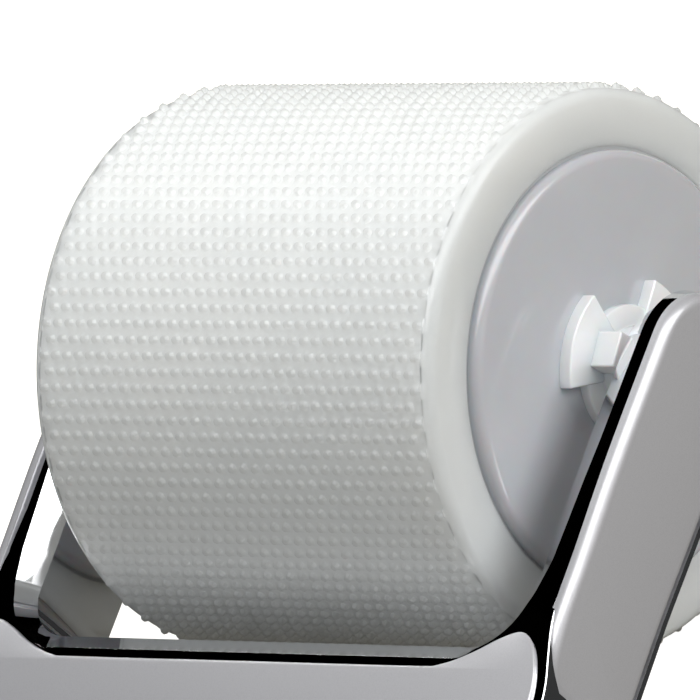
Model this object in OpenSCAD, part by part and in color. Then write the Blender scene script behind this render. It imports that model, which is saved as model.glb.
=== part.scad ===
// Hand roller: a nubbed gel drum that turns on a steel axle between the two arms of a chromed yoke,
// with glossy inlay pads on the arms and on both faces of the handle.
// It lies on its back: +Z is its front face, +Y is the drum end and -Y the handle end.

/* [Drum] */
// Radius over the tips of the nubs
drum_r = 24.6; // [22:0.1:27]
// Width of the drum, end to end
drum_w = 45; // [40:0.5:48]
// Thickness of the gel sleeve
sleeve_t = 2.6; // [2:0.1:3.5]
// Radius of the raised disc on each end of the drum
disc_r = 18.8; // [17:0.1:19.5]
// How far the disc stands out of the end of the drum
disc_rise = 0.9; // [0.4:0.1:1.2]

/* [Hub] */
// Outer radius of the three fins
fin_r = 8.3; // [7:0.1:9]
// Angle that each fin spans
fin_angle = 62; // [40:1:80]
// Radius of the round collar between the fins
collar_r = 5.7; // [5:0.1:6.5]

/* [Axle] */
// Radius of the axle
axle_r = 2.5; // [2:0.1:3]
// Running clearance between the axle and its bushes, on the radius
axle_gap = 0.03; // [0.02:0.01:0.08]

/* [Yoke] */
// Distance from the drum's centre to the inner face of each arm
arm_in = 27.8; // [27.4:0.1:28.5]
// Distance from the drum's centre to the outer face of each arm
arm_out = 31.9; // [31.5:0.1:32.5]
// Half the width of an arm, and the radius of its rounded tip
arm_r = 6.75; // [6.4:0.05:7.1]
// Distance from the axle to the inner face of the cross-member
bridge_s = 29.6; // [29:0.1:30.5]
// Radius of the yoke's inner corners
corner_r = 4.8; // [3:0.1:7]

/* [Inlays] */
// How far a side pad stands out of its arm
pad_t = 1.4; // [0.8:0.1:1.5]
// Thickness of the front and back panels
panel_t = 1.6; // [1.2:0.1:2]
// How far the front and back panels stand out of the chrome
panel_proud = 0.3; // [0.1:0.05:0.4]

/* [Hidden] */
$fn = 96;

// Everything below is drawn in the axle's frame: x along the axle, y from the axle towards the
// handle's end, z towards the front face. place() turns that into the part's own frame.
handle_end = 152.5;
axle_y = (handle_end - drum_r) / 2;
axle_z = drum_r;
floor_z = -axle_z;

half_w = drum_w / 2;
core_r = drum_r - sleeve_t;
core_t = 2;
sleeve_lip = 1.2;
lip_gap = 0.3;
edge_r = 1;
core_end = half_w - sleeve_lip;
disc_face = half_w + disc_rise;
disc_edge = 0.6;
arm_shift = 0.35;
arm_front = arm_shift + arm_r;
arm_back = arm_shift - arm_r;
spigot_len = 7;
spigot_t = 2;
boss_r = 8;
boss_in = 8;
hub_stem_r = 5;
fin_t = 1.2;
fin_tilt = 9.5;
gusset_r = 5.5;
gusset_w = 3.2;
washer_t = 0.6;
washer_r = 4.4;
side_play = 0.1;
hub_end = arm_in - washer_t - side_play;
hub_tip_r = 3.9;
bush_r = 3.5;
hub_bore_r = 3.8;
bush_len = 9;
bush_in = hub_end - bush_len;
tube_gap = 0.5;
tube_t = 0.7;
press_gap = 0.03;

axle_seat = 2.1;
axle_end = arm_in + axle_seat;
tap_r = 1.25;
tap_len = 7;
screw_len = 6.5;
screw_web = 0.8;
screw_head_r = 3.1;
screw_head_t = 1.2;
screw_hole_gap = 0.15;
socket_r = 1.1;
socket_t = 0.7;

panel_screw_s = [46, 82, 126];
post_r = 4;
post_gap = 0.1;
boss_len = 7;
panel_boss_r = 2.2;
panel_tap_r = 0.8;
panel_head_r = 2;
panel_head_t = 1.4;
web_t = 2;
cavity_t = 2.4;
wall = 3.2;
steps = 4;
arc_steps = 16;
far = 200;

// Half outline of the yoke and handle seen from the front: [x, distance from the axle].
outer_points = [[arm_out, -10], [arm_out, 22], [arm_out + 0.1, 25], [32.5, 28], [33.4, 31], [34.2, 33.6],
    [34.5, 36], [34.2, 38.6], [32.9, 41.8], [30.2, 45.2], [26.2, 49.3], [22, 53.6], [18.6, 58.6],
    [16.1, 64], [14.3, 70.5], [13.2, 78], [12.8, 88], [13.2, 102], [13.9, 118], [14.2, 129],
    [13.8, 138.5], [12, 145.3], [8.7, 150], [4.4, 152], [0, handle_end]];

// Half outline of the front panel: a straight top edge with a lobe that climbs onto each arm.
panel_points = [[0, 32.4], [18.5, 32.4], [22.1, 32.2], [25.2, 31], [27.7, 29.6], [29.8, 28.95],
    [31.4, 30], [32.6, 32.1], [33.3, 34.8], [33.2, 38], [32, 41.2], [29.3, 44.6], [25.2, 48.7],
    [21, 53], [17.6, 58], [15.1, 63.5], [13.2, 70], [12, 77], [11.5, 88], [11.9, 102], [12.6, 118],
    [12.9, 128], [12.5, 137], [11, 143.3], [8, 147.6], [4, 149.7], [0, 150.2]];

// Half outline of the back panel, which stops short of the arms.
back_panel_points = [[0, 33.6], [20, 33.6], [26, 33.8], [29.6, 34.6], [31.3, 36.8], [30.9, 39.4],
    [28.6, 43], [24.6, 47.5], [20.4, 52.4], [17.1, 57.8], [14.8, 63.5], [13.1, 70], [12, 77], [11.5, 88],
    [11.9, 102], [12.6, 118], [12.9, 128], [12.5, 137], [11, 143.3], [8, 147.6], [4, 149.7], [0, 150.2]];

// Front and back surfaces seen from the side: [distance from the axle, height over the axle].
front_points = [[0, arm_front], [12, 7], [22, 6.6], [33, 6.45], [42, 5.8], [55, 4], [70, 1.6], [90, -1.6],
    [110, -4.9], [130, -8.6], [142, -11.4], [149, -14], [handle_end, -17.5]];
back_points = [[0, arm_back], [10, arm_back], [21, -6.45], [29, -6.7], [40, -8.2], [55, -10.9], [70, -13.6],
    [90, -17.2], [110, -20.7], [126, -23.3], [137, floor_z + panel_proud], [148, floor_z + panel_proud],
    [handle_end, -20.5]];

// Front and back edges of a side pad, which keep close to the arm's.
pad_front_points = [[0, arm_front], [12, 7], [21, 6.6], [25, 6.5], [28, 6.3], [30.7, 5.9], [32.3, 5.2],
    [33.4, 4.4]];
pad_back_points = [[0, -5.4], [21, -5.4], [29, -5.7], [33.4, -5.9]];

// A smooth curve through the points, by the Catmull-Rom formula.
function curve_at(p, i, t) =
    let (a = p[max(i - 1, 0)], b = p[i], c = p[i + 1], d = p[min(i + 2, len(p) - 1)])
    (2 * b + t * (c - a) + t * t * (2 * a - 5 * b + 4 * c - d) + t * t * t * (3 * b - a - 3 * c + d)) / 2;
function smooth(p) = concat(
    [for (i = [0 : len(p) - 2]) for (k = [0 : steps - 1]) curve_at(p, i, k / steps)],
    [p[len(p) - 1]]);
function reversed(p) = [for (i = [len(p) - 1 : -1 : 0]) p[i]];
function flipped(p) = [for (q = p) [-q[0], q[1]]];
function raised(p, dz) = [for (q = p) [q[0], q[1] + dz]];
function arc(cx, cy, r, a0, a1) =
    [for (k = [0 : arc_steps]) let (a = a0 + (a1 - a0) * k / arc_steps) [cx + r * cos(a), cy + r * sin(a)]];

front_curve = smooth(front_points);
back_curve = [for (q = smooth(back_points)) [q[0], max(q[1], floor_z + panel_proud)]];
function front_at(s) = lookup(s, front_curve);

module place() {
    translate([0, axle_y, axle_z]) mirror([0, 1, 0]) children();
}

// Turns a profile of [radius, x] round the axle.
module turned() {
    rotate([0, 90, 0]) rotate_extrude() children();
}

module rod(r, x0, x1) {
    translate([x0, 0, 0]) rotate([0, 90, 0]) cylinder(r = r, h = x1 - x0);
}

module ring(r_out, r_in, x0, x1) {
    difference() {
        rod(r_out, x0, x1);
        rod(r_in, x0 - 1, x1 + 1);
    }
}

// Right-hand pieces are drawn on +x, and side = -1 gives their left-hand twins.
module on_side(side) {
    place() mirror([side < 0 ? 1 : 0, 0, 0]) children();
}

// Both halves of an outline, mirrored about the middle, as a plate through the whole height.
module plate(half) {
    translate([0, 0, -far / 2]) linear_extrude(far) polygon(concat(half, reversed(flipped(half))));
}

// A shape seen from the side, carried across the whole width from x0 to x1.
module slab(points, x0, x1) {
    translate([x0, 0, 0]) rotate([90, 0, 90]) linear_extrude(x1 - x0) polygon(points);
}

module side_shape() {
    slab(concat(front_curve, reversed(back_curve)), -far / 2, far / 2);
    translate([0, 0, arm_shift]) rod(arm_r, -far / 2, far / 2);
}

module gel_sleeve() {
    lip_r = disc_r + lip_gap;
    color([0.9, 0.91, 0.92]) place() turned() difference() {
        union() {
            translate([0, -half_w + edge_r]) square([drum_r, drum_w - 2 * edge_r]);
            translate([0, -half_w]) square([drum_r - edge_r, drum_w]);
            for (x = [-half_w + edge_r, half_w - edge_r])
                translate([drum_r - edge_r, x]) circle(r = edge_r);
        }
        translate([0, -half_w - 1]) square([lip_r, drum_w + 2]);
        translate([0, -core_end]) square([core_r, 2 * core_end]);
    }
}

module core_drum() {
    color([0.95, 0.95, 0.96]) place() ring(core_r, core_r - core_t, -core_end, core_end);
}

module end_cap(side) {
    spigot_r = core_r - core_t - press_gap;
    color([0.86, 0.87, 0.9]) on_side(side) difference() {
        union() {
            rod(spigot_r, core_end - spigot_len, core_end);
            rod(disc_r, core_end, disc_face - disc_edge);
            rod(disc_r - disc_edge, disc_face - disc_edge, disc_face);
            turned() translate([disc_r - disc_edge, disc_face - disc_edge]) circle(r = disc_edge);
        }
        difference() {
            rod(spigot_r - spigot_t, 0, core_end - core_t);
            rod(boss_r, core_end - boss_in, core_end);
        }
        rod(hub_stem_r, 0, far);
    }
}

module cap_seal(side) {
    color([0.45, 0.46, 0.48]) on_side(side) ring(disc_r + lip_gap, disc_r, core_end, half_w - lip_gap);
}

module fin(angle) {
    half = fin_angle / 2;
    rotate([angle, 0, 0]) rotate([0, 90, 0]) linear_extrude(fin_t)
        polygon(concat([[0, 0]], arc(0, 0, fin_r, 180 - half, 180 + half)));
}

// A rib on a fin, which runs out towards the arm and ends on the hub's own wall.
module gusset(angle) {
    rotate([angle, 0, 0]) translate([0, -gusset_w / 2, bush_r + press_gap])
        cube([hub_end - disc_face, gusset_w, gusset_r - bush_r - press_gap]);
}

// The three fins stand round a collar, each with a rib that runs out beside the bush.
module hub(side) {
    color([0.97, 0.97, 0.98]) on_side(side) difference() {
        union() {
            rod(hub_stem_r, core_end - boss_in, disc_face);
            rod(collar_r, disc_face, disc_face + fin_t);
            translate([disc_face, 0, 0]) for (k = [0 : 2]) {
                fin(k * 120 - fin_tilt);
                gusset(k * 120 - fin_tilt);
            }
            rod(hub_tip_r, disc_face, hub_end);
        }
        rod(bush_r, bush_in, far);
        rod(hub_bore_r, 0, bush_in);
    }
}

module bush(side) {
    color([0.85, 0.82, 0.74]) on_side(side) ring(bush_r, axle_r + axle_gap, bush_in, hub_end);
}

module spacer_tube() {
    color([0.8, 0.8, 0.82]) place() ring(axle_r + tube_gap + tube_t, axle_r + tube_gap, -bush_in, bush_in);
}

module axle() {
    color([0.75, 0.76, 0.78]) place() difference() {
        rod(axle_r, -axle_end, axle_end);
        rod(tap_r, axle_end - tap_len, axle_end + 1);
        rod(tap_r, -axle_end - 1, -axle_end + tap_len);
    }
}

module thrust_washer(side) {
    color([0.93, 0.93, 0.9]) on_side(side) ring(washer_r, axle_r, arm_in - washer_t, arm_in);
}

module axle_screw(side) {
    head_x = axle_end + screw_web;
    color([0.6, 0.61, 0.63]) on_side(side) difference() {
        union() {
            rod(tap_r, axle_end - screw_len, head_x);
            rod(screw_head_r, head_x, head_x + screw_head_t);
        }
        translate([head_x + screw_head_t - socket_t, 0, 0]) rotate([0, 90, 0])
            cylinder(r = socket_r, h = 2, $fn = 6);
    }
}

// The space between the arms, with rounded inner corners.
module yoke_gap() {
    corner_x = arm_in - corner_r;
    corner_s = bridge_s - corner_r;
    plate(concat([[0, -40], [arm_in, -40]], arc(corner_x, corner_s, corner_r, 0, 90), [[0, bridge_s]]));
}

// The layer that a panel fills, from its outer face inwards.
module front_layer() {
    slab(concat(raised(front_curve, panel_proud), reversed(raised(front_curve, panel_proud - panel_t))),
        -far / 2, far / 2);
}

module back_layer() {
    slab(concat(raised(back_curve, -panel_proud), reversed(raised(back_curve, panel_t - panel_proud))),
        -far / 2, far / 2);
}

module front_fill() {
    intersection() {
        plate(smooth(panel_points));
        front_layer();
    }
}

module back_fill() {
    intersection() {
        plate(smooth(back_panel_points));
        back_layer();
    }
}

// A side pad's outline, as a slab between x0 and x1.
module pad_slab(x0, x1) {
    edge = concat(smooth(pad_front_points), reversed(smooth(pad_back_points)));
    tip_r = (pad_front_points[0][1] - pad_back_points[0][1]) / 2;
    slab(edge, x0, x1);
    translate([0, 0, pad_front_points[0][1] - tip_r]) rod(tip_r, x0, x1);
}

// The hollow in the handle's back, which the back panel closes.
module cavity() {
    inner = [for (p = smooth(outer_points)) if (p[1] > 58 && p[1] < 142) [p[0] - wall, p[1]]];
    intersection() {
        plate(concat([[0, inner[0][1]]], inner, [[0, inner[len(inner) - 1][1]]]));
        slab(concat(raised(front_curve, -panel_t - cavity_t), reversed(raised(back_curve, -1))),
            -far / 2, far / 2);
    }
}

module yoke() {
    color([0.35, 0.36, 0.38]) place() difference() {
        intersection() {
            plate(smooth(outer_points));
            side_shape();
        }
        yoke_gap();
        front_fill();
        back_fill();
        for (side = [-1, 1]) mirror([side < 0 ? 1 : 0, 0, 0]) pad_slab(arm_out, far);
        difference() {
            cavity();
            for (s = panel_screw_s) translate([0, s, -far / 2]) cylinder(r = post_r, h = far);
        }
        for (s = panel_screw_s) {
            web_z = front_at(s) - panel_t - boss_len;
            translate([0, s, web_z]) cylinder(r = panel_boss_r + post_gap, h = far);
            translate([0, s, web_z - web_t - far]) cylinder(r = panel_head_r + 2 * post_gap, h = far);
            translate([0, s, web_z - far / 2]) cylinder(r = panel_tap_r + post_gap, h = far);
        }
        rod(axle_r, -axle_end, axle_end);
        rod(tap_r + screw_hole_gap, -far, far);
        for (side = [-1, 1]) mirror([side < 0 ? 1 : 0, 0, 0])
            rod(screw_head_r + screw_hole_gap, axle_end + screw_web, far);
    }
}

module side_pad(side) {
    color([0.72, 0.72, 0.74]) on_side(side) pad_slab(arm_out, arm_out + pad_t);
}

module front_panel() {
    color([0.62, 0.62, 0.64]) place() difference() {
        union() {
            front_fill();
            for (s = panel_screw_s)
                translate([0, s, front_at(s) - panel_t - boss_len])
                    cylinder(r = panel_boss_r, h = boss_len + 1);
        }
        for (s = panel_screw_s)
            translate([0, s, front_at(s) - panel_t - boss_len - 1]) cylinder(r = panel_tap_r, h = boss_len);
    }
}

module back_panel() {
    color([0.62, 0.62, 0.64]) place() back_fill();
}

module panel_screws() {
    color([0.6, 0.61, 0.63]) place() for (s = panel_screw_s) {
        web_z = front_at(s) - panel_t - boss_len - web_t;
        translate([0, s, web_z]) cylinder(r = panel_tap_r, h = boss_len + web_t - 1);
        translate([0, s, web_z - panel_head_t]) cylinder(r = panel_head_r, h = panel_head_t);
    }
}

gel_sleeve();
core_drum();
end_cap(-1);  // end_cap_left
end_cap(1);  // end_cap_right
cap_seal(-1);  // cap_seal_left
cap_seal(1);  // cap_seal_right
hub(-1);  // hub_left
hub(1);  // hub_right
bush(-1);  // bush_left
bush(1);  // bush_right
spacer_tube();
axle();
thrust_washer(-1);  // thrust_washer_left
thrust_washer(1);  // thrust_washer_right
axle_screw(-1);  // axle_screw_left
axle_screw(1);  // axle_screw_right
yoke();
side_pad(-1);  // side_pad_left
side_pad(1);  // side_pad_right
front_panel();
back_panel();
panel_screws();
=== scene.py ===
"""Looks of the hand roller: a nubbed gel drum in a chromed yoke with glossy inlays, lying on its back.

Lengths in this script are in millimetres, in the axle's frame: x along the axle, s from the axle towards
the handle's end, h upwards over the axle. at() turns them into the row frame, in metres.
"""

import math

import bmesh
import bpy
import numpy as np
from mathutils import Matrix, Vector

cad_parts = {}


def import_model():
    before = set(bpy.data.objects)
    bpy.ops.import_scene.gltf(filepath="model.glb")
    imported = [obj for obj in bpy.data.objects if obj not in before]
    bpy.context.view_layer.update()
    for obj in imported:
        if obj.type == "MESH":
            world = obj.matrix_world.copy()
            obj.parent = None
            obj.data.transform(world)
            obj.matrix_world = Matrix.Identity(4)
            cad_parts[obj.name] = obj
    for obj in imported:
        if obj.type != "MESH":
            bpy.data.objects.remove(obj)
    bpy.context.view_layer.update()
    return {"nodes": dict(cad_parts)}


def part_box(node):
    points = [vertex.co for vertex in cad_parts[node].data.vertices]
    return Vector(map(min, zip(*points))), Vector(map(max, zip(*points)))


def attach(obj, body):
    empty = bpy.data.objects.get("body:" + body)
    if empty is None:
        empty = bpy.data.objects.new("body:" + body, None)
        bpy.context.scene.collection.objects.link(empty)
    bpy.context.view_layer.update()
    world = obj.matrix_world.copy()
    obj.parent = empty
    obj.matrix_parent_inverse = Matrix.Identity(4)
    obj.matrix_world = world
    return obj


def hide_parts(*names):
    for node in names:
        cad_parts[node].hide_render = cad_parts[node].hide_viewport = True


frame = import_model()

MM = 0.001


# ---------------------------------------------------------------- places, from the frame

def node_box_mm(node):
    low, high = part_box(node)
    return low / MM, high / MM


sleeve_low, sleeve_high = node_box_mm("gel_sleeve")
AXLE_Y = (sleeve_low.y + sleeve_high.y) / 2
AXLE_Z = (sleeve_low.z + sleeve_high.z) / 2
TIP_R = (sleeve_high.z - sleeve_low.z) / 2
HALF_W = sleeve_high.x
FLOOR_H = -AXLE_Z

SEAM = 0.3
DISC_R = (node_box_mm("cap_seal_right")[1].z - node_box_mm("cap_seal_right")[0].z) / 2 - SEAM
HUB_END = node_box_mm("hub_right")[1].x
PAD_IN = node_box_mm("side_pad_right")[0].x
PAD_OUT = node_box_mm("side_pad_right")[1].x
HANDLE_END = AXLE_Y - node_box_mm("yoke")[0].y
ARM_R = node_box_mm("yoke")[1].y - AXLE_Y
ARM_SHIFT = 0.35
ARM_FRONT = ARM_SHIFT + ARM_R
ARM_BACK = ARM_SHIFT - ARM_R
ARM_IN = node_box_mm("thrust_washer_right")[1].x
ARM_OUT = PAD_IN
CORE_R = node_box_mm("core_drum")[1].z - AXLE_Z
CORE_END = node_box_mm("core_drum")[1].x


def at(x, s, h):
    return Vector((x, AXLE_Y - s, AXLE_Z + h)) * MM


# ---------------------------------------------------------------- curves

def smooth(points, steps=6):
    """A curve through the points, by the Catmull-Rom formula, which part.scad also uses."""
    p = [points[0], *points, points[-1]]
    out = []
    for a, b, c, d in zip(p, p[1:], p[2:], p[3:]):
        for k in range(steps):
            t = k / steps
            out.append(tuple(
                (2 * q + t * (r - o) + t * t * (2 * o - 5 * q + 4 * r - u)
                 + t ** 3 * (3 * q - o - 3 * r + u)) / 2
                for o, q, r, u in zip(a, b, c, d)))
    return out + [tuple(points[-1])]


def arc(cx, cy, r, a0, a1, steps):
    """Points on a circle from angle a0 to angle a1, in degrees."""
    angles = [math.radians(a0 + (a1 - a0) * k / steps) for k in range(steps + 1)]
    return [(cx + r * math.cos(a), cy + r * math.sin(a)) for a in angles]


BLUNTEST_MITRE = 0.4


def offset(loop, distance, closed=True):
    """Moves a line sideways, to its right-hand side, with mitred corners.

    distance is one number, or a list with one for each point."""
    p = np.array(loop, float)
    d = np.broadcast_to(np.asarray(distance, float), len(p))
    before, after = np.roll(p, 1, 0), np.roll(p, -1, 0)
    if not closed:
        before[0] = 2 * p[0] - p[1]
        after[-1] = 2 * p[-1] - p[-2]
    e0, e1 = p - before, after - p
    n0 = np.stack([e0[:, 1], -e0[:, 0]], 1) / np.linalg.norm(e0, axis=1)[:, None]
    n1 = np.stack([e1[:, 1], -e1[:, 0]], 1) / np.linalg.norm(e1, axis=1)[:, None]
    n = n0 + n1
    n /= np.linalg.norm(n, axis=1)[:, None]
    mitre = np.maximum((n * n0).sum(1), BLUNTEST_MITRE)
    return [tuple(q) for q in p + n * (d / mitre)[:, None]]


def area_of(loop):
    """Twice the area inside a loop, negative if it runs clockwise."""
    return sum(a[0] * b[1] - b[0] * a[1] for a, b in zip(loop, loop[1:] + loop[:1]))


def counter_clockwise(loop):
    return loop if area_of(loop) > 0 else loop[::-1]


# Half outlines (x, s): the yoke and handle past the arms' straight part, the front panel, the back panel.
OUTER = [(ARM_OUT, 22), (ARM_OUT + 0.1, 25), (32.5, 28), (33.4, 31), (34.2, 33.6),
         (34.5, 36), (34.2, 38.6), (32.9, 41.8), (30.2, 45.2), (26.2, 49.3), (22, 53.6), (18.6, 58.6),
         (16.1, 64), (14.3, 70.5), (13.2, 78), (12.8, 88), (13.2, 102), (13.9, 118), (14.2, 129),
         (13.8, 138.5), (12, 145.3), (8.7, 150), (4.4, 152), (0, HANDLE_END)]
PANEL = [(0, 32.4), (18.5, 32.4), (22.1, 32.2), (25.2, 31), (27.7, 29.6), (29.8, 28.95), (31.4, 30),
         (32.6, 32.1), (33.3, 34.8), (33.2, 38), (32, 41.2), (29.3, 44.6), (25.2, 48.7), (21, 53),
         (17.6, 58), (15.1, 63.5), (13.2, 70), (12, 77), (11.5, 88), (11.9, 102), (12.6, 118),
         (12.9, 128), (12.5, 137), (11, 143.3), (8, 147.6), (4, 149.7), (0, 150.2)]
BACK_PANEL = [(0, 33.6), (20, 33.6), (26, 33.8), (29.6, 34.6), (31.3, 36.8), (30.9, 39.4), (28.6, 43),
              (24.6, 47.5), (20.4, 52.4), (17.1, 57.8), (14.8, 63.5), (13.1, 70), (12, 77), (11.5, 88),
              (11.9, 102), (12.6, 118), (12.9, 128), (12.5, 137), (11, 143.3), (8, 147.6), (4, 149.7),
              (0, 150.2)]
# Front and back surfaces seen from the side: (s, h).
PANEL_PROUD = 0.3
FRONT = [(0, ARM_FRONT), (12, 7), (22, 6.6), (33, 6.45), (42, 5.8), (55, 4), (70, 1.6), (90, -1.6),
         (110, -4.9), (130, -8.6), (142, -11.4), (149, -14), (HANDLE_END, -17.5)]
BACK = [(0, ARM_BACK), (10, ARM_BACK), (21, -6.45), (29, -6.7), (40, -8.2), (55, -10.9), (70, -13.6),
        (90, -17.2), (110, -20.7), (126, -23.3), (137, FLOOR_H + PANEL_PROUD),
        (148, FLOOR_H + PANEL_PROUD), (HANDLE_END, -20.5)]
# Front and back edges of a side pad: (s, h).
PAD_FRONT = [(0, ARM_FRONT), (12, 7), (21, 6.6), (25, 6.5), (28, 6.3), (30.7, 5.9), (32.3, 5.2), (33.4, 4.4)]
PAD_BACK = [(0, -5.4), (21, -5.4), (29, -5.7), (33.4, -5.9)]

front_line = np.array(smooth(FRONT, 8))
back_line = np.array(smooth(BACK, 8))


def front(s):
    """Height of the yoke's front surface."""
    return float(np.interp(s, front_line[:, 0], front_line[:, 1]))


def back(s):
    """Height of the yoke's back surface, which stays just clear of the floor."""
    return max(float(np.interp(s, back_line[:, 0], back_line[:, 1])), FLOOR_H + PANEL_PROUD)


# ---------------------------------------------------------------- mesh helpers

SAME_PLACE = 1e-7
BEVEL_FROM = 25


def add_object(name, data):
    obj = bpy.data.objects.new(name, data)
    bpy.context.scene.collection.objects.link(obj)
    return obj


def new_object(name, bm, material, angle=30):
    """Makes an object of a bmesh, smooth but for edges sharper than angle."""
    bmesh.ops.remove_doubles(bm, verts=bm.verts, dist=SAME_PLACE)
    bmesh.ops.recalc_face_normals(bm, faces=bm.faces)
    limit = math.radians(angle)
    for face in bm.faces:
        face.smooth = True
    for edge in bm.edges:
        edge.smooth = len(edge.link_faces) != 2 or edge.calc_face_angle() < limit
    mesh = bpy.data.meshes.new(name)
    bm.to_mesh(mesh)
    bm.free()
    mesh.materials.append(material)
    return add_object(name, mesh)


def settle(obj):
    """Writes an object's modifiers into its mesh."""
    bpy.context.view_layer.update()
    depsgraph = bpy.context.evaluated_depsgraph_get()
    mesh = bpy.data.meshes.new_from_object(obj.evaluated_get(depsgraph))
    obj.modifiers.clear()
    obj.data = mesh


def round_edges(obj, width, segments):
    """Rounds every edge sharper than BEVEL_FROM and evens out the shading of the flat faces beside it."""
    bevel = obj.modifiers.new("round", "BEVEL")
    bevel.width = width * MM
    bevel.segments = segments
    bevel.limit_method = "ANGLE"
    bevel.angle_limit = math.radians(BEVEL_FROM)
    bevel.use_clamp_overlap = True
    weighted = obj.modifiers.new("even", "WEIGHTED_NORMAL")
    weighted.keep_sharp = True
    for edge in obj.data.edges:
        edge.use_edge_sharp = False
    settle(obj)


def piece(obj, body, node):
    """Hangs a piece on the body it rides on and hides the CAD node it stands for."""
    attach(obj, body)
    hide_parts(node)


def bridge(bm, a, b, closed=False):
    """Faces between two rows of vertices, skipping those that have shrunk to nothing."""
    count = len(a) if closed else len(a) - 1
    for i in range(count):
        j = (i + 1) % len(a)
        corners = []
        for v in (a[i], a[j], b[j], b[i]):
            if v not in corners and all((v.co - w.co).length > SAME_PLACE / 10 for w in corners):
                corners.append(v)
        if len(corners) > 2 and bm.faces.get(corners) is None:
            bm.faces.new(corners)


def round_axle(x, angle, r):
    """A point at a distance and an angle round the axle."""
    return at(x, r * math.sin(angle), r * math.cos(angle))


def rings_of(bm, profile, segments):
    """A ring of vertices round the axle for each (x, r) of a profile."""
    return [[bm.verts.new(round_axle(x, 2 * math.pi * k / segments, r)) for k in range(segments)]
            for x, r in profile]


def lathe(bm, profile, segments, side):
    """Turns a closed profile of (x, r) round the axle."""
    rings = rings_of(bm, [(side * x, r) for x, r in profile], segments)
    for a, b in zip(rings, rings[1:] + rings[:1]):
        bridge(bm, a, b, closed=True)


def capped(bm, low, high):
    """A solid between two rings of vertices."""
    bridge(bm, low, high, closed=True)
    bm.faces.new(low)
    bm.faces.new(high)


# ---------------------------------------------------------------- materials

def node_material(name):
    material = bpy.data.materials.new(name)
    material.use_nodes = True
    tree = material.node_tree
    shader = tree.nodes["Principled BSDF"]
    return material, tree, shader


def noise(tree, scale, detail, stretch=(1, 1, 1)):
    """Noise on the piece's own coordinates, in cells per metre."""
    place = tree.nodes.new("ShaderNodeTexCoord")
    mapping = tree.nodes.new("ShaderNodeMapping")
    mapping.inputs["Scale"].default_value = stretch
    texture = tree.nodes.new("ShaderNodeTexNoise")
    texture.inputs["Scale"].default_value = scale
    texture.inputs["Detail"].default_value = detail
    tree.links.new(place.outputs["Object"], mapping.inputs["Vector"])
    tree.links.new(mapping.outputs["Vector"], texture.inputs["Vector"])
    return texture.outputs["Fac"]


def ramp(tree, value, *stops):
    """A colour that changes with a value, between two stops of (position, colour)."""
    node = tree.nodes.new("ShaderNodeValToRGB")
    for element, (position, colour) in zip(node.color_ramp.elements, stops):
        element.position = position
        element.color = (*colour, 1)
    tree.links.new(value, node.inputs["Fac"])
    return node.outputs["Color"]


def spread(tree, value, low, high):
    """A value from 0 to 1 stretched to run from low to high."""
    node = tree.nodes.new("ShaderNodeMapRange")
    node.inputs["To Min"].default_value = low
    node.inputs["To Max"].default_value = high
    tree.links.new(value, node.inputs["Value"])
    return node.outputs["Result"]


def bump(tree, shader, height, strength, distance):
    node = tree.nodes.new("ShaderNodeBump")
    node.inputs["Strength"].default_value = strength
    node.inputs["Distance"].default_value = distance * MM
    tree.links.new(height, node.inputs["Height"])
    tree.links.new(node.outputs["Normal"], shader.inputs["Normal"])


def math_node(tree, operation, *values):
    """The result of an operation on numbers and sockets."""
    node = tree.nodes.new("ShaderNodeMath")
    node.operation = operation
    for socket, value in zip(node.inputs, values):
        if isinstance(value, (int, float)):
            socket.default_value = value
        else:
            tree.links.new(value, socket)
    return node.outputs[0]


GEL_DARK = (0.64, 0.66, 0.66)
GEL_LIGHT = (0.68, 0.695, 0.69)
# Painted shade: a darker gel colour for the nub tips, to dim how the lights brighten them.
GEL_TIP_SHADE = (0.59, 0.605, 0.6)
PLAIN_SHARE = 0.97
NUBBED_TO = 21.45
FADE_FROM = 0.56
FADE_OVER = 0.4
PLASTIC_GRAIN = 900
METAL_GRAIN = 700
FLAKES = 9000


def drum_normal(tree):
    """The surface's normal, turned by PLAIN_SHARE towards that of a plain drum, where there are nubs."""
    place = tree.nodes.new("ShaderNodeTexCoord")
    from_axle = tree.nodes.new("ShaderNodeVectorMath")
    from_axle.operation = "SUBTRACT"
    from_axle.inputs[1].default_value = at(0, 0, 0)
    parts = tree.nodes.new("ShaderNodeSeparateXYZ")
    across = tree.nodes.new("ShaderNodeVectorMath")
    across.operation = "MULTIPLY"
    across.inputs[1].default_value = (0, 1, 1)
    outward = tree.nodes.new("ShaderNodeVectorMath")
    outward.operation = "NORMALIZE"
    turned = tree.nodes.new("ShaderNodeVectorTransform")
    turned.vector_type = "NORMAL"
    turned.convert_from, turned.convert_to = "OBJECT", "WORLD"
    geometry = tree.nodes.new("ShaderNodeNewGeometry")
    mix = tree.nodes.new("ShaderNodeMix")
    mix.data_type = "VECTOR"
    last = tree.nodes.new("ShaderNodeVectorMath")
    last.operation = "NORMALIZE"
    tree.links.new(place.outputs["Object"], from_axle.inputs[0])
    tree.links.new(from_axle.outputs[0], parts.inputs[0])
    tree.links.new(from_axle.outputs[0], across.inputs[0])
    tree.links.new(across.outputs[0], outward.inputs[0])
    tree.links.new(outward.outputs[0], turned.inputs[0])
    among_nubs = math_node(tree, "LESS_THAN", math_node(tree, "ABSOLUTE", parts.outputs["X"]), NUBBED_TO * MM)
    tree.links.new(math_node(tree, "MULTIPLY", among_nubs, PLAIN_SHARE), mix.inputs[0])
    tree.links.new(geometry.outputs["Normal"], mix.inputs[4])
    tree.links.new(turned.outputs[0], mix.inputs[5])
    tree.links.new(mix.outputs[1], last.inputs[0])
    return last.outputs[0]


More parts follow.
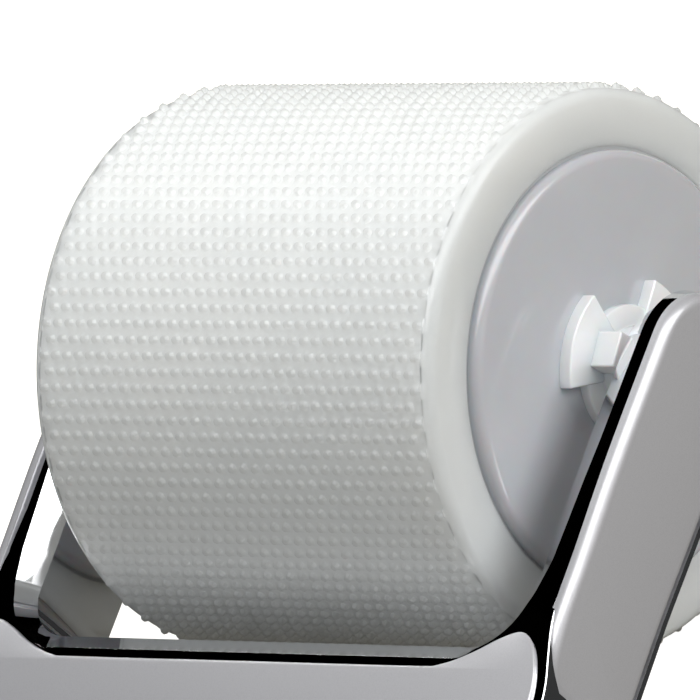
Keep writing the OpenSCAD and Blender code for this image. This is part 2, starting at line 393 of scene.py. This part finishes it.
def nub_height(tree):
    """0 on the drum's skin and 1 near the nubs' tips: the mask for the painted shade on the tips."""
    place = tree.nodes.new("ShaderNodeTexCoord")
    parts = tree.nodes.new("ShaderNodeSeparateXYZ")
    tree.links.new(place.outputs["Object"], parts.inputs[0])
    y = math_node(tree, "SUBTRACT", parts.outputs["Y"], AXLE_Y * MM)
    z = math_node(tree, "SUBTRACT", parts.outputs["Z"], AXLE_Z * MM)
    radius = math_node(tree, "SQRT", math_node(tree, "ADD", math_node(tree, "MULTIPLY", y, y),
                                               math_node(tree, "MULTIPLY", z, z)))
    above = math_node(tree, "SUBTRACT", radius, (TIP_R - FADE_FROM) * MM)
    fade = math_node(tree, "DIVIDE", above, FADE_OVER * MM)
    return math_node(tree, "MINIMUM", math_node(tree, "MAXIMUM", fade, 0.0), 1.0)


def gel_material():
    """Frosted silicone, milky and lit from inside, shaded like a plain drum, with painted shade that darkens
    the nub tips where the lights make them bright.
    """
    material, tree, shader = node_material("gel")
    cloud = ramp(tree, noise(tree, 60, 3), (0.3, GEL_DARK), (0.7, GEL_LIGHT))
    # Painted shade: the colour darkens towards the nub tips.
    painted_tip_shade = tree.nodes.new("ShaderNodeMix")
    painted_tip_shade.data_type = "RGBA"
    painted_tip_shade.inputs["B"].default_value = (*GEL_TIP_SHADE, 1)
    tree.links.new(nub_height(tree), painted_tip_shade.inputs["Factor"])
    tree.links.new(cloud, painted_tip_shade.inputs["A"])
    tree.links.new(painted_tip_shade.outputs["Result"], shader.inputs["Base Color"])
    tree.links.new(spread(tree, noise(tree, 900, 2), 0.3, 0.4), shader.inputs["Roughness"])
    tree.links.new(drum_normal(tree), shader.inputs["Normal"])
    shader.subsurface_method = "BURLEY"
    shader.inputs["Subsurface Weight"].default_value = 1.0
    shader.inputs["Subsurface Radius"].default_value = (1.0, 0.95, 0.88)
    shader.inputs["Subsurface Scale"].default_value = 4 * MM
    shader.inputs["Specular IOR Level"].default_value = 0.2
    shader.inputs["Coat Weight"].default_value = 0.5
    shader.inputs["Coat Roughness"].default_value = 0.12
    return material


def plastic_material(name, dark, light, rough, coat=0.0, subsurface=0.0):
    """Moulded plastic with faint clouding of its colour and an uneven polish."""
    material, tree, shader = node_material(name)
    tree.links.new(ramp(tree, noise(tree, 90, 3), (0.3, dark), (0.7, light)), shader.inputs["Base Color"])
    polish = spread(tree, noise(tree, PLASTIC_GRAIN, 3), rough * 0.8, rough * 1.25)
    tree.links.new(polish, shader.inputs["Roughness"])
    shader.inputs["Coat Weight"].default_value = coat
    shader.inputs["Coat Roughness"].default_value = 0.06
    shader.inputs["Subsurface Weight"].default_value = subsurface
    shader.inputs["Subsurface Scale"].default_value = 2 * MM
    bump(tree, shader, noise(tree, PLASTIC_GRAIN * 2, 2), 0.08, 0.01)
    return material


def pearl_material():
    """Grey pearl lacquer: tiny flakes under a clear glossy coat."""
    material, tree, shader = node_material("pearl")
    flakes = tree.nodes.new("ShaderNodeTexVoronoi")
    flakes.inputs["Scale"].default_value = FLAKES
    place = tree.nodes.new("ShaderNodeTexCoord")
    tree.links.new(place.outputs["Object"], flakes.inputs["Vector"])
    colour = ramp(tree, flakes.outputs["Distance"], (0.0, (0.56, 0.56, 0.58)), (0.8, (0.51, 0.51, 0.53)))
    tree.links.new(colour, shader.inputs["Base Color"])
    tree.links.new(spread(tree, noise(tree, 1500, 3), 0.3, 0.38), shader.inputs["Roughness"])
    shader.inputs["Metallic"].default_value = 0.25
    shader.inputs["Coat Weight"].default_value = 1.0
    shader.inputs["Coat Roughness"].default_value = 0.08
    bump(tree, shader, noise(tree, 300, 2), 0.03, 0.02)
    return material


def metal_material(name, colour, worn, rough, stretch=(1, 1, 1)):
    """Metal whose polish varies a little, with grain drawn out along the axes where stretch is small."""
    material, tree, shader = node_material(name)
    tree.links.new(ramp(tree, noise(tree, 120, 4), (0.35, worn), (0.6, colour)), shader.inputs["Base Color"])
    polish = spread(tree, noise(tree, METAL_GRAIN, 4, stretch), rough * 0.6, rough * 1.5)
    tree.links.new(polish, shader.inputs["Roughness"])
    shader.inputs["Metallic"].default_value = 1.0
    bump(tree, shader, noise(tree, METAL_GRAIN * 3, 3, stretch), 0.03, 0.01)
    return material


GEL = gel_material()
CORE = plastic_material("core_white", (0.86, 0.86, 0.86), (0.92, 0.92, 0.92), 0.5)
CAP = plastic_material("cap_white", (0.5, 0.51, 0.54), (0.54, 0.55, 0.58), 0.22, coat=0.5, subsurface=0.3)
HUB = plastic_material("hub_white", (0.86, 0.86, 0.87), (0.9, 0.9, 0.91), 0.2, coat=0.6, subsurface=0.2)
SEAL = plastic_material("seal", (0.4, 0.41, 0.42), (0.46, 0.47, 0.48), 0.6)
BUSH = plastic_material("bush_ivory", (0.78, 0.74, 0.64), (0.82, 0.78, 0.69), 0.45)
WASHER = plastic_material("washer_white", (0.82, 0.82, 0.8), (0.87, 0.87, 0.85), 0.45)
CHROME = metal_material("chrome", (0.88, 0.89, 0.91), (0.82, 0.83, 0.85), 0.035)
STEEL = metal_material("steel", (0.6, 0.61, 0.63), (0.5, 0.51, 0.53), 0.25, stretch=(0.05, 1, 1))
PEARL = pearl_material()


# ---------------------------------------------------------------- drum

SKIN_R = TIP_R - 0.6
NUB_ROWS = 110
NUBS_PER_ROW = 33
NUB_PITCH = 1.31
# (radius, height) of the two rings under a nub's tip.
NUB_RINGS = [(0.48, 0.08), (0.3, 0.44)]
EDGE_R = 1.0
LIP_R = DISC_R + SEAM
CORE_GAP = 0.02


def gel_sleeve():
    """The sleeve: staggered rows of nubs, each in its own cell, with rounded ends, lips and a bore."""
    bm = bmesh.new()
    steps = 2 * NUB_ROWS
    columns = 2 * NUBS_PER_ROW
    edge = NUBS_PER_ROW * NUB_PITCH / 2
    grid = {}

    def vertex(column, step):
        """A point of the cells' lattice, half a pitch apart both ways."""
        key = (column, step % steps)
        if key not in grid:
            x = -edge + column * NUB_PITCH / 2
            grid[key] = bm.verts.new(round_axle(x, 2 * math.pi * key[1] / steps, SKIN_R))
        return grid[key]

    for row in range(NUB_ROWS):
        step = 2 * row
        first = row % 2
        for column in range(first, columns - first, 2):
            c, m = column, step + 1
            cell = [vertex(c, step), vertex(c + 1, step), vertex(c + 2, step), vertex(c + 2, m),
                    vertex(c + 2, step + 2), vertex(c + 1, step + 2), vertex(c, step + 2), vertex(c, m)]
            x0 = -edge + (c + 1) * NUB_PITCH / 2
            angle0 = 2 * math.pi * m / steps
            ring = cell
            for r, height in NUB_RINGS:
                inner = []
                for k in range(8):
                    turn = math.radians(225 + 45 * k)
                    inner.append(bm.verts.new(round_axle(x0 + r * math.cos(turn),
                                                      angle0 + r * math.sin(turn) / SKIN_R,
                                                      SKIN_R + height)))
                bridge(bm, ring, inner, closed=True)
                ring = inner
            tip = bm.verts.new(round_axle(x0, angle0, TIP_R))
            for k in range(8):
                bm.faces.new((ring[k], ring[(k + 1) % 8], tip))
        if first:
            for c in (0, columns - 1):
                for m in (step, step + 1):
                    bm.faces.new((vertex(c, m), vertex(c + 1, m), vertex(c + 1, m + 1), vertex(c, m + 1)))

    fillet = arc(HALF_W - EDGE_R, SKIN_R - EDGE_R, EDGE_R, 90, 0, 6)
    end = [(HALF_W, LIP_R + 0.25), (HALF_W - 0.08, LIP_R + 0.07), (HALF_W - 0.3, LIP_R),
           (CORE_END + CORE_GAP, LIP_R), (CORE_END + CORE_GAP, CORE_R + CORE_GAP)]
    right = fillet + end
    rings = rings_of(bm, right + [(-x, r) for x, r in reversed(right)], steps)
    border = [[vertex(c, k) for k in range(steps)] for c in (columns, 0)]
    for a, b in zip([border[0], *rings], [*rings, border[1]]):
        bridge(bm, a, b, closed=True)
    piece(new_object("gel_sleeve_skin", bm, GEL, 50), "roller", "gel_sleeve")


DISC_FACE = HALF_W + 0.9
DISC_ROUND = 0.8
DISC_BACK = CORE_END + 0.01
DISC_INSIDE = 19
SPIGOT_R = 17.9
SPIGOT_BORE = 16
SPIGOT_TIP = 14.3
BOSS_R = 8
BOSS_TIP = 13.6
SOCKET_R = 5.05

PLUG_R = 5
PLUG_TIP = 14
HUB_BORE = 3.55
HUB_R = 3.9
COLLAR_R = 5.7
COLLAR_DROP = 0.3
FIN_FACE = DISC_FACE + 1.2
FIN_R = 8.3
FIN_ANGLE = 62
FIN_TILT = 9.5
FIN_STEPS = 10
FIN_ROOT = 1.1
RIB_ROOT = 3.6
RIB_R = 5.5
RIB_HALF = 1.6
HUB_ROUND = 0.3


def end_cap(side, name):
    """The raised disc: a flat face with a soft rim, a spigot in the drum and a socket for the hub."""
    bm = bmesh.new()
    rim = arc(DISC_FACE - DISC_ROUND, DISC_R - DISC_ROUND, DISC_ROUND, 0, 90, 5)
    profile = [(DISC_FACE, SOCKET_R), *rim, (DISC_BACK, DISC_R), (DISC_BACK, SPIGOT_R),
               (SPIGOT_TIP, SPIGOT_R), (SPIGOT_TIP, SPIGOT_BORE), (DISC_INSIDE, SPIGOT_BORE - 0.1),
               (DISC_INSIDE, BOSS_R), (BOSS_TIP, BOSS_R), (BOSS_TIP, SOCKET_R)]
    lathe(bm, profile, 128, side)
    node = "end_cap_" + name
    piece(new_object(node + "_disc", bm, CAP, 35), "roller", node)


def hub(side, name):
    """Three flat fins round a collar, each with a rib that runs out towards the arm."""
    bm = bmesh.new()
    foot = DISC_FACE - COLLAR_DROP
    lathe(bm, [(PLUG_TIP, HUB_BORE), (HUB_END, HUB_BORE), (HUB_END, HUB_R), (FIN_FACE - 0.1, HUB_R),
               (FIN_FACE - COLLAR_DROP, COLLAR_R), (foot, COLLAR_R), (foot, PLUG_R), (PLUG_TIP, PLUG_R)],
          96, side)
    for k in range(3):
        middle = math.radians(k * 120 - FIN_TILT)
        half = math.radians(FIN_ANGLE / 2)
        outline = [(HUB_R, -half * FIN_ROOT), (HUB_R, half * FIN_ROOT)]
        outline += [(FIN_R, half - 2 * half * j / FIN_STEPS) for j in range(FIN_STEPS + 1)]
        low, high = ([bm.verts.new(round_axle(side * x, -middle - turn, r)) for r, turn in outline]
                     for x in (DISC_FACE - 0.2, FIN_FACE))
        capped(bm, low, high)
        corners = [(RIB_ROOT, -RIB_HALF), (RIB_R, -RIB_HALF), (RIB_R, RIB_HALF), (RIB_ROOT, RIB_HALF)]
        low, high = ([bm.verts.new(at(side * x, -r * math.sin(middle) + w * math.cos(middle),
                                      r * math.cos(middle) + w * math.sin(middle))) for r, w in corners]
                     for x in (DISC_FACE, HUB_END - 0.02))
        capped(bm, low, high)
    node = "hub_" + name
    obj = new_object(node + "_fins", bm, HUB, 30)
    round_edges(obj, HUB_ROUND, 3)
    piece(obj, "roller", node)


gel_sleeve()
for side, name in ((-1, "left"), (1, "right")):
    end_cap(side, name)
    hub(side, name)


# ---------------------------------------------------------------- yoke

CHAMFER_DEPTH = 1.65
CHAMFER_OUT = 0.08
BRIDGE_S = 29.6
CORNER_R = 4.8
POCKET = 1.3
STRAIGHT = 22
TIP_STEPS = 14
ARM_STATIONS = (3.5, 7, 10.5, 14, 18)
YOKE_ROUND = 0.12

LEDGE_T = 0.55
LEDGE_FROM = -1
LEDGE_TO = 33
LEDGE_STATIONS = 24
RECESS_GAP = 0.06
RECESS_REACH = 5


def chamfer_width(s):
    """The inner chamfer is wide along the arms and narrow in the corners, near the front panel."""
    return float(np.interp(s, (10, 23, 26, 29.3, BRIDGE_S), (2.8, 2.15, 1.35, 1.35, 1.95)))


def lean(s):
    """How much lower the front of an arm is at its outer edge."""
    return float(np.interp(s, (18, 29), (0.3, 0)))


def yoke():
    """Arms, cross-member and handle: the space between a front and a back surface inside an outline."""
    bm = bmesh.new()
    corner = (ARM_IN - CORNER_R, BRIDGE_S - CORNER_R)
    wall_in = [(ARM_IN, STRAIGHT)]
    wall_in += arc(*corner, CORNER_R, 0, 90, 14)
    wall_in += [(x, BRIDGE_S) for x in np.linspace(corner[0], 0, 9)[1:]]
    wall_out = smooth(OUTER)
    top_in = offset(wall_in, [chamfer_width(s) for x, s in wall_in], closed=False)
    top_in[-1] = (0, top_in[-1][1])
    top_out = offset(wall_out, -CHAMFER_OUT, closed=False)
    top_out[-1] = (0, HANDLE_END - CHAMFER_OUT)
    pockets = {1: smooth(PANEL), -1: smooth(BACK_PANEL)}

    def surface(sign, s, inset):
        return front(s) - inset if sign > 0 else back(s) + inset

    for side in (1, -1):
        rows = {}
        for sign in (1, -1):
            arm = {}
            for key, place, inset in (("wall_in", lambda s: ARM_IN, CHAMFER_DEPTH),
                                      ("top_in", lambda s: ARM_IN + chamfer_width(s), 0),
                                      ("top_out", lambda s: ARM_OUT - CHAMFER_OUT, lean(0)),
                                      ("wall_out", lambda s: ARM_OUT, lean(0) + CHAMFER_OUT)):
                stations = [(s, ARM_SHIFT + sign * rise)
                            for s, rise in arc(0, 0, ARM_R - inset, 180, 90, TIP_STEPS)]
                stations += [(s, surface(sign, s, inset)) for s in ARM_STATIONS]
                arm[key] = [bm.verts.new(at(side * place(s), s, h)) for s, h in stations]
            row = {}
            for key, line, inset, tilt in (("wall_in", wall_in, CHAMFER_DEPTH, 0), ("top_in", top_in, 0, 0),
                                           ("top_out", top_out, 0, 1),
                                           ("wall_out", wall_out, CHAMFER_OUT, 1)):
                heights = [surface(sign, s, inset + tilt * lean(s)) for x, s in line]
                row[key] = arm[key] + [bm.verts.new(at(side * x, s, h)) for (x, s), h in zip(line, heights)]
            bridge(bm, row["wall_in"], row["top_in"])
            bridge(bm, row["top_out"], row["wall_out"])
            bridge(bm, arm["top_in"], arm["top_out"])
            rim, bottom = ([bm.verts.new(at(side * x, s, surface(sign, s, depth))) for x, s in pockets[sign]]
                           for depth in (0, POCKET))
            bridge(bm, rim, bottom)
            start = len(arm["top_in"]) - 1
            fill(bm, row["top_in"][start:] + rim + row["top_out"][start:][::-1])
            fill(bm, bottom)
            rows[sign] = row
        for key in ("wall_in", "wall_out"):
            bridge(bm, rows[1][key], rows[-1][key])
    obj = new_object("yoke_chrome", bm, CHROME, BEVEL_FROM)
    for side in (1, -1):
        cut(obj, pad_recess(side))
    bm = bmesh.new()
    bm.from_mesh(obj.data)
    for side in (1, -1):
        ledge(bm, side)
    bmesh.ops.recalc_face_normals(bm, faces=bm.faces)
    bm.to_mesh(obj.data)
    bm.free()
    round_edges(obj, YOKE_ROUND, 2)
    piece(obj, "handle", "yoke")


def ledge(bm, side):
    """The thin ledge on an arm along the back edge of its pad."""
    rows = []
    for s in np.linspace(LEDGE_FROM, LEDGE_TO, LEDGE_STATIONS):
        out = float(np.interp(s, (LEDGE_FROM, 3), (ARM_OUT + 0.05, PAD_OUT - 0.35)))
        high = float(np.interp(s, *zip(*PAD_BACK))) - 0.1
        low = high - LEDGE_T
        corners = [(ARM_OUT - 0.3, low), (out, low), (out, high), (ARM_OUT - 0.3, high)]
        rows.append([bm.verts.new(at(side * x, s, h)) for x, h in corners])
    for a, b in zip(rows, rows[1:]):
        bridge(bm, a, b, closed=True)
    bm.faces.new(rows[0])
    bm.faces.new(rows[-1])


def pad_outline():
    """Outline of a side pad in (s, h): a round tip, a front edge that leaves the arm's, and a square end."""
    tip_r = (PAD_FRONT[0][1] - PAD_BACK[0][1]) / 2
    middle = PAD_FRONT[0][1] - tip_r
    tip = [(s, h) for h, s in arc(middle, 0, tip_r, 180, 360, 24)]
    return tip[1:-1] + smooth(PAD_FRONT) + smooth(PAD_BACK)[::-1]


def pad_recess(side):
    """The space round a side pad, to be cut out of the yoke's shoulder."""
    bm = bmesh.new()
    loop = offset(counter_clockwise(pad_outline()), RECESS_GAP)
    low, high = ([bm.verts.new(at(side * x, s, h)) for s, h in loop]
                 for x in (ARM_OUT + 0.005, ARM_OUT + RECESS_REACH))
    capped(bm, low, high)
    return new_object("recess", bm, CHROME)


def cut(obj, tool):
    """Takes one mesh out of another and deletes the tool."""
    modifier = obj.modifiers.new("cut", "BOOLEAN")
    modifier.operation = "DIFFERENCE"
    modifier.solver = "EXACT"
    modifier.object = tool
    settle(obj)
    bpy.data.objects.remove(tool)


def fill(bm, loop):
    """Triangles that fill a loop of vertices, chosen in plan."""
    heights = [v.co.z for v in loop]
    for v in loop:
        v.co.z = 0
    face = bm.faces.new(loop)
    bmesh.ops.triangulate(bm, faces=[face], ngon_method="BEAUTY")
    for v, z in zip(loop, heights):
        v.co.z = z


# ---------------------------------------------------------------- inlays

PANEL_GAP = 0.05
PANEL_CUTS = np.arange(36, 150, 3)
FRONT_ROUND = 0.18
BACK_ROUND = 0.28
PAD_ROUND = 1.0
PAD_LIFT = 0.02


def inlay(name, outline, place, height, base, radius, cuts=(), steps=4):
    """A pearl pad inside a closed outline, with its edge rounded by radius.

    Its top follows height and it sits on base. place(u, v, w) gives a point w over the plane, and cuts are
    the v values where the top is divided."""
    flat = bmesh.new()
    inner = offset(outline, -radius)
    flat.faces.new([flat.verts.new((u, v, 0)) for u, v in inner])
    for v in cuts:
        bmesh.ops.bisect_plane(flat, geom=[*flat.verts, *flat.edges, *flat.faces],
                               plane_co=(0, v, 0), plane_no=(0, 1, 0), dist=1e-6)
    border = {}
    for edge in flat.edges:
        if edge.is_boundary:
            for a, b in (edge.verts, reversed(edge.verts)):
                border.setdefault(a, []).append(b)
    start = min(border, key=lambda v: (v.co.y, v.co.x))
    loop = [start, border[start][0]]
    while len(loop) < len(border):
        loop.append(next(v for v in border[loop[-1]] if v is not loop[-2]))
    points = [(v.co.x, v.co.y) for v in loop]
    outward = math.copysign(1, area_of(points))

    bm = bmesh.new()
    twins = {v: bm.verts.new(place(v.co.x, v.co.y, height(v.co.x, v.co.y))) for v in flat.verts}
    for face in flat.faces:
        bm.faces.new([twins[v] for v in face.verts])
    rows = [[twins[v] for v in loop]]
    for k in range(1, steps + 1):
        a = math.pi / 2 * k / steps
        ring = offset(points, outward * radius * math.sin(a))
        rows.append([bm.verts.new(place(u, v, height(u, v) - radius * (1 - math.cos(a)))) for u, v in ring])
    rows.append([bm.verts.new(place(u, v, base(u, v))) for u, v in offset(points, outward * radius)])
    for a, b in zip(rows, rows[1:]):
        bridge(bm, a, b, closed=True)
    under = bm.faces.new(rows[-1])
    bmesh.ops.triangulate(bm, faces=[under], ngon_method="BEAUTY")
    flat.free()
    return new_object(name, bm, PEARL, 40)


def closed_outline(half):
    """A whole outline from its right-hand half."""
    return half + [(-x, s) for x, s in half[-2:0:-1]]


def front_panel():
    outline = offset(counter_clockwise(closed_outline(smooth(PANEL))), -PANEL_GAP)
    obj = inlay("front_panel_shell", outline, at, lambda x, s: front(s) + PANEL_PROUD,
                lambda x, s: front(s) - POCKET + PANEL_GAP, FRONT_ROUND, PANEL_CUTS)
    piece(obj, "handle", "front_panel")


def back_panel():
    outline = offset(counter_clockwise(closed_outline(smooth(BACK_PANEL))), -PANEL_GAP)

    def place(x, s, w):
        return at(x, s, -w)

    obj = inlay("back_panel_shell", outline, place, lambda x, s: -back(s) + PANEL_PROUD,
                lambda x, s: -back(s) - POCKET + PANEL_GAP, BACK_ROUND, PANEL_CUTS)
    piece(obj, "handle", "back_panel")


def side_pad(side, name):
    outline = counter_clockwise(pad_outline())

    def place(s, h, w):
        return at(side * (ARM_OUT + w), s, h)

    obj = inlay("side_pad_" + name + "_shell", outline, place, lambda s, h: PAD_OUT - PAD_IN,
                lambda s, h: PAD_LIFT, PAD_ROUND, steps=7)
    piece(obj, "handle", "side_pad_" + name)


yoke()
front_panel()
back_panel()
for side, name in ((-1, "left"), (1, "right")):
    side_pad(side, name)


# ---------------------------------------------------------------- CAD nodes that keep their own shape

for node, material in {
    "core_drum": CORE, "cap_seal_left": SEAL, "cap_seal_right": SEAL, "bush_left": BUSH, "bush_right": BUSH,
    "spacer_tube": STEEL, "axle": STEEL, "thrust_washer_left": WASHER, "thrust_washer_right": WASHER,
    "axle_screw_left": STEEL, "axle_screw_right": STEEL, "panel_screws": STEEL,
}.items():
    for slot in frame["nodes"][node].material_slots:
        slot.material = material


# ---------------------------------------------------------------- studio

AMBIENT = 0.42
FLOOR_REACH = 6.0
FLOOR_COLOUR = (0.34, 0.31, 0.25)
FLOOR_MIRRORED = (0.02, 0.02, 0.02)
LIGHT_DISTANCE = 0.8
CAMERA_RIGHT = (0.7521, 0.338, -0.5659)
CAMERA_UP = (-0.0057, 0.863, 0.505)
CAMERA_AWAY = 1200.6
CAMERA_LEFT = 5.51
CAMERA_RAISE = 1.66
LENS = 720
SENSOR = 36


def by_ray(tree, base, **extra):
    """A strength that starts at base and grows for the kinds of ray named, as in Camera=0.8."""
    rays = tree.nodes.new("ShaderNodeLightPath")
    value = base
    for kind, amount in extra.items():
        value = math_node(tree, "MULTIPLY_ADD", rays.outputs["Is " + kind + " Ray"], amount, value)
    return value


def floor():
    """A floor that is white to the eye and dark in reflections, and throws warm, dim light at the roller."""
    mesh = bpy.data.meshes.new("floor")
    corners = [(x * FLOOR_REACH, y * FLOOR_REACH, 0) for x, y in ((-1, -1), (1, -1), (1, 1), (-1, 1))]
    mesh.from_pydata(corners, [], [(0, 1, 2, 3)])
    obj = add_object("floor", mesh)
    material, tree, shader = node_material("floor")
    base = tree.nodes.new("ShaderNodeMix")
    base.data_type = "RGBA"
    base.inputs["A"].default_value = (*FLOOR_COLOUR, 1)
    base.inputs["B"].default_value = (*FLOOR_MIRRORED, 1)
    tree.links.new(by_ray(tree, 0.0, Glossy=1.0), base.inputs["Factor"])
    tree.links.new(base.outputs["Result"], shader.inputs["Base Color"])
    shader.inputs["Roughness"].default_value = 0.8
    shader.inputs["Specular IOR Level"].default_value = 0.0
    shader.inputs["Emission Color"].default_value = (1, 1, 1, 1)
    tree.links.new(by_ray(tree, 0.0, Camera=1.0, Glossy=0.02), shader.inputs["Emission Strength"])
    mesh.materials.append(material)


def softbox(name, direction, size, radiance, matt=True, glossy=True):
    """An area light, in metres, that looks at the drum from a direction and shines with a radiance.

    matt and glossy say whether matt surfaces and mirrors see it."""
    light = bpy.data.lights.new(name, "AREA")
    light.shape = "RECTANGLE"
    light.size, light.size_y = size
    light.energy = radiance * math.pi * size[0] * size[1]
    obj = add_object(name, light)
    away = Vector(direction).normalized()
    obj.location = at(0, 0, 0) + away * LIGHT_DISTANCE
    obj.rotation_euler = away.to_track_quat("Z", "Y").to_euler()
    obj.visible_diffuse = matt
    obj.visible_glossy = glossy


def world():
    """Soft light all round for matt surfaces, white to the eye, and black in reflections."""
    scene = bpy.context.scene
    scene.world = bpy.data.worlds.new("studio")
    scene.world.use_nodes = True
    tree = scene.world.node_tree
    background = tree.nodes["Background"]
    background.inputs["Color"].default_value = (1, 1, 1, 1)
    tree.links.new(by_ray(tree, AMBIENT, Camera=1.0 - AMBIENT, Glossy=-AMBIENT),
                   background.inputs["Strength"])


def camera():
    """A long lens from above the handle's right-hand side, rolled so that the axle runs level."""
    right = Vector(CAMERA_RIGHT).normalized()
    up = Vector(CAMERA_UP)
    up = (up - right * up.dot(right)).normalized()
    away = right.cross(up)
    data = bpy.data.cameras.new("camera")
    data.sensor_width = SENSOR
    data.lens = LENS
    data.clip_start, data.clip_end = 0.01, 50
    obj = add_object("camera", data)
    place = at(0, 0, 0) + (away * CAMERA_AWAY - right * CAMERA_LEFT + up * CAMERA_RAISE) * MM
    basis = Matrix((right, up, away)).transposed()
    obj.matrix_world = Matrix.Translation(place) @ basis.to_4x4()
    bpy.context.scene.camera = obj


floor()
world()
softbox("key", (0.0, 0.471, 0.882), size=(0.7, 0.4), radiance=4.6, glossy=False)
softbox("fill", (0.95, 0.25, 0.15), size=(0.6, 0.6), radiance=4.0, glossy=False)
softbox("side glint", (0.49, 0.38, 0.78), size=(0.5, 2.2), radiance=4.0, matt=False)
softbox("tip glint", (-0.65, 0.5, 0.56), size=(0.1, 0.1), radiance=14.0, matt=False)
camera()
bpy.context.scene.view_settings.view_transform = "Standard"
